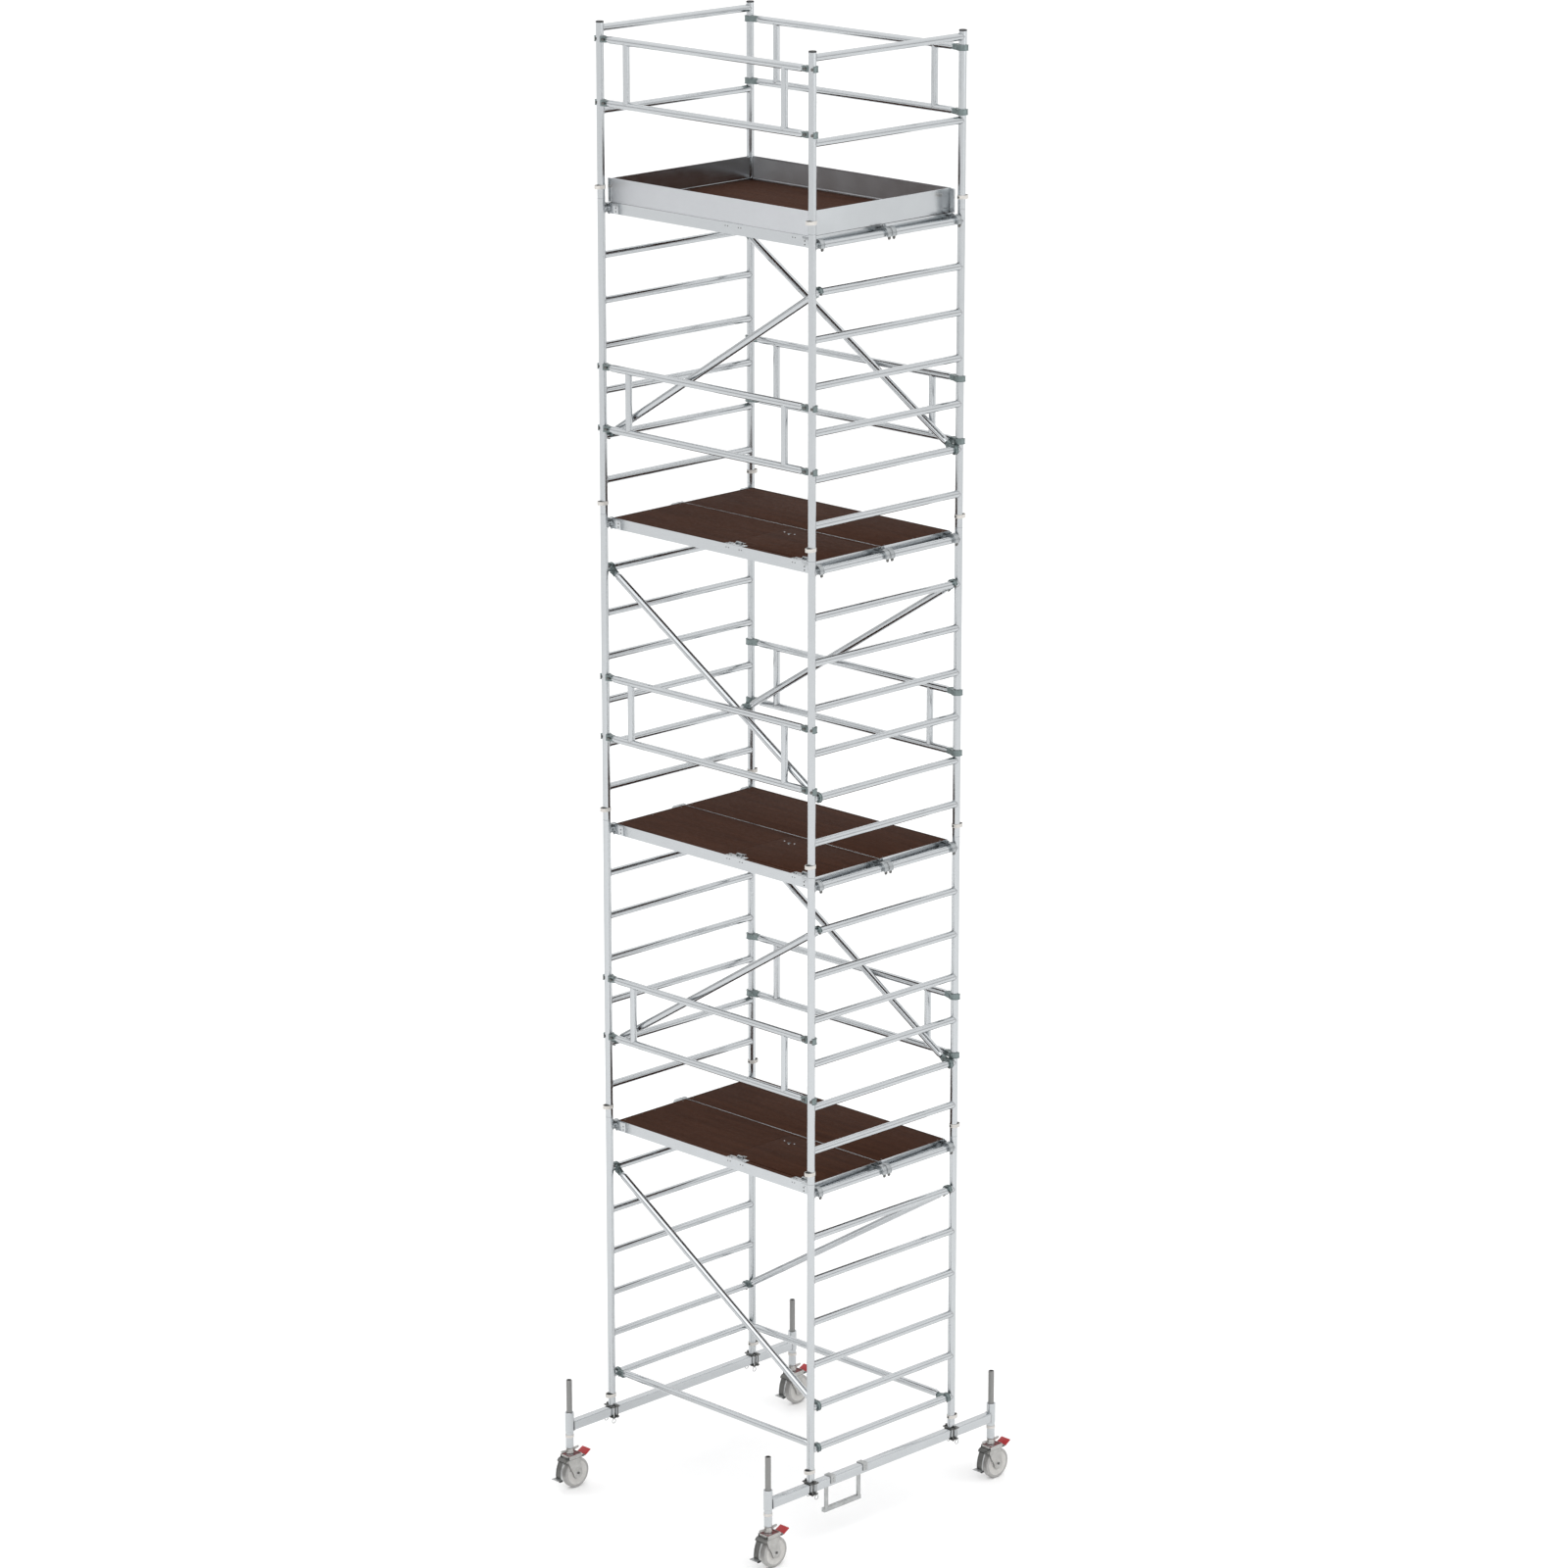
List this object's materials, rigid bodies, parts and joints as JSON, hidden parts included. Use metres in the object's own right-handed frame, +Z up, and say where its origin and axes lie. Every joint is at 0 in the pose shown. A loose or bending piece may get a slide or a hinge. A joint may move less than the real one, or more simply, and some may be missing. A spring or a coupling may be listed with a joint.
{
  "type": "mobile tower scaffold",
  "caption": "Tall narrow aluminium tower on braked swivel casters, with ladder-like ends, hook-on decks with trapdoors, guard rails, diagonal braces and toe boards.",
  "frame": {"origin": "on the floor under the centre of the bounding box", "axes": "+Z up; +X along the decks towards the end that carries the access step; +Y along the rungs towards the back, the side away from the trapdoors"},
  "size_m": [1.896, 2.294, 9.384],
  "materials": {
    "aluminium": "mill-finish aluminium tube, satin, faintly streaked",
    "decking": "dark brown coated plywood with a fine grip texture",
    "panel": "smooth satin sheet, slightly scuffed",
    "zinc": "zinc-plated steel, semi-matte",
    "casting": "zinc-plated pressed steel, semi-matte",
    "tread": "pale grey cast wheel with a hard tread",
    "pedal": "dark red moulded pedal"
  },
  "bodies": {
    "tower": {"crossbeam_left": "aluminium", "ladder_frame_left_1": "aluminium", "ladder_frame_left_2": "aluminium", "ladder_frame_left_3": "aluminium", "ladder_frame_left_4": "aluminium", "guard_frame_left": "aluminium", "crossbeam_right": "aluminium", "ladder_frame_right_1": "aluminium", "ladder_frame_right_2": "aluminium", "ladder_frame_right_3": "aluminium", "ladder_frame_right_4": "aluminium", "guard_frame_right": "aluminium", "deck_front_1": "decking", "deck_back_1": "decking", "guard_rail_front_1": "aluminium", "guard_rail_back_1": "aluminium", "brace_front_1": "aluminium", "brace_back_1": "aluminium", "deck_front_2": "decking", "deck_back_2": "decking", "guard_rail_front_2": "aluminium", "guard_rail_back_2": "aluminium", "brace_front_2": "aluminium", "brace_back_2": "aluminium", "deck_front_3": "decking", "deck_back_3": "decking", "guard_rail_front_3": "aluminium", "guard_rail_back_3": "aluminium", "brace_front_3": "aluminium", "brace_back_3": "aluminium", "deck_front_4": "decking", "deck_back_4": "decking", "guard_rail_front_4": "aluminium", "guard_rail_back_4": "aluminium", "brace_front_4": "aluminium", "brace_back_4": "aluminium", "base_bar_front": "aluminium", "base_bar_back": "aluminium", "access_step": "zinc", "toe_boards": "panel"},
    "leg_front_left": {"leg_spindle_front_left": "zinc"},
    "swivel_front_left": {"caster_fork_front_left": "casting"},
    "wheel_front_left": {"wheel_front_left": "tread"},
    "rocker_front_left": {"brake_rocker_front_left": "pedal"},
    "leg_back_left": {"leg_spindle_back_left": "zinc"},
    "swivel_back_left": {"caster_fork_back_left": "casting"},
    "wheel_back_left": {"wheel_back_left": "tread"},
    "rocker_back_left": {"brake_rocker_back_left": "pedal"},
    "leg_front_right": {"leg_spindle_front_right": "zinc"},
    "swivel_front_right": {"caster_fork_front_right": "casting"},
    "wheel_front_right": {"wheel_front_right": "tread"},
    "rocker_front_right": {"brake_rocker_front_right": "pedal"},
    "leg_back_right": {"leg_spindle_back_right": "zinc"},
    "swivel_back_right": {"caster_fork_back_right": "casting"},
    "wheel_back_right": {"wheel_back_right": "tread"},
    "rocker_back_right": {"brake_rocker_back_right": "pedal"},
    "hatch_1": {"hatch_1": "decking"},
    "hatch_2": {"hatch_2": "decking"},
    "hatch_3": {"hatch_3": "decking"},
    "hatch_4": {"hatch_4": "decking"}
  },
  "joints": [
    {"name": "leg_slide_front_left", "type": "slide", "parent": "tower", "child": "leg_front_left", "axis": [0, 0, 1], "range_m": [-0.2, 0]},
    {"name": "caster_swivel_front_left", "type": "hinge", "parent": "leg_front_left", "child": "swivel_front_left", "pos_m": [-0.9, -1.022, 0.23], "axis": [0, 0, 1], "continuous": true},
    {"name": "wheel_spin_front_left", "type": "hinge", "parent": "swivel_front_left", "child": "wheel_front_left", "pos_m": [-0.9, -0.977, 0.1], "axis": [1, 0, 0], "continuous": true},
    {"name": "brake_rock_front_left", "type": "hinge", "parent": "swivel_front_left", "child": "rocker_front_left", "pos_m": [-0.9, -1.014, 0.213], "axis": [1, 0, 0], "range_deg": [-10, 0]},
    {"name": "leg_slide_back_left", "type": "slide", "parent": "tower", "child": "leg_back_left", "axis": [0, 0, 1], "range_m": [-0.2, 0]},
    {"name": "caster_swivel_back_left", "type": "hinge", "parent": "leg_back_left", "child": "swivel_back_left", "pos_m": [-0.9, 0.998, 0.23], "axis": [0, 0, 1], "continuous": true},
    {"name": "wheel_spin_back_left", "type": "hinge", "parent": "swivel_back_left", "child": "wheel_back_left", "pos_m": [-0.9, 1.043, 0.1], "axis": [1, 0, 0], "continuous": true},
    {"name": "brake_rock_back_left", "type": "hinge", "parent": "swivel_back_left", "child": "rocker_back_left", "pos_m": [-0.9, 1.006, 0.213], "axis": [1, 0, 0], "range_deg": [-10, 0]},
    {"name": "leg_slide_front_right", "type": "slide", "parent": "tower", "child": "leg_front_right", "axis": [0, 0, 1], "range_m": [-0.2, 0]},
    {"name": "caster_swivel_front_right", "type": "hinge", "parent": "leg_front_right", "child": "swivel_front_right", "pos_m": [0.9, -1.022, 0.23], "axis": [0, 0, 1], "continuous": true},
    {"name": "wheel_spin_front_right", "type": "hinge", "parent": "swivel_front_right", "child": "wheel_front_right", "pos_m": [0.9, -0.977, 0.1], "axis": [1, 0, 0], "continuous": true},
    {"name": "brake_rock_front_right", "type": "hinge", "parent": "swivel_front_right", "child": "rocker_front_right", "pos_m": [0.9, -1.014, 0.213], "axis": [1, 0, 0], "range_deg": [-10, 0]},
    {"name": "leg_slide_back_right", "type": "slide", "parent": "tower", "child": "leg_back_right", "axis": [0, 0, 1], "range_m": [-0.2, 0]},
    {"name": "caster_swivel_back_right", "type": "hinge", "parent": "leg_back_right", "child": "swivel_back_right", "pos_m": [0.9, 0.998, 0.23], "axis": [0, 0, 1], "continuous": true},
    {"name": "wheel_spin_back_right", "type": "hinge", "parent": "swivel_back_right", "child": "wheel_back_right", "pos_m": [0.9, 1.043, 0.1], "axis": [1, 0, 0], "continuous": true},
    {"name": "brake_rock_back_right", "type": "hinge", "parent": "swivel_back_right", "child": "rocker_back_right", "pos_m": [0.9, 1.006, 0.213], "axis": [1, 0, 0], "range_deg": [-10, 0]},
    {"name": "hatch_hinge_1", "type": "hinge", "parent": "tower", "child": "hatch_1", "pos_m": [0.4875, -0.567, 2.414], "axis": [1, 0, 0], "range_deg": [0, 90]},
    {"name": "hatch_hinge_2", "type": "hinge", "parent": "tower", "child": "hatch_2", "pos_m": [0.4875, -0.567, 4.374], "axis": [1, 0, 0], "range_deg": [0, 90]},
    {"name": "hatch_hinge_3", "type": "hinge", "parent": "tower", "child": "hatch_3", "pos_m": [0.4875, -0.567, 6.334], "axis": [1, 0, 0], "range_deg": [0, 90]},
    {"name": "hatch_hinge_4", "type": "hinge", "parent": "tower", "child": "hatch_4", "pos_m": [0.4875, -0.567, 8.294], "axis": [1, 0, 0], "range_deg": [0, 90]}
  ]
}
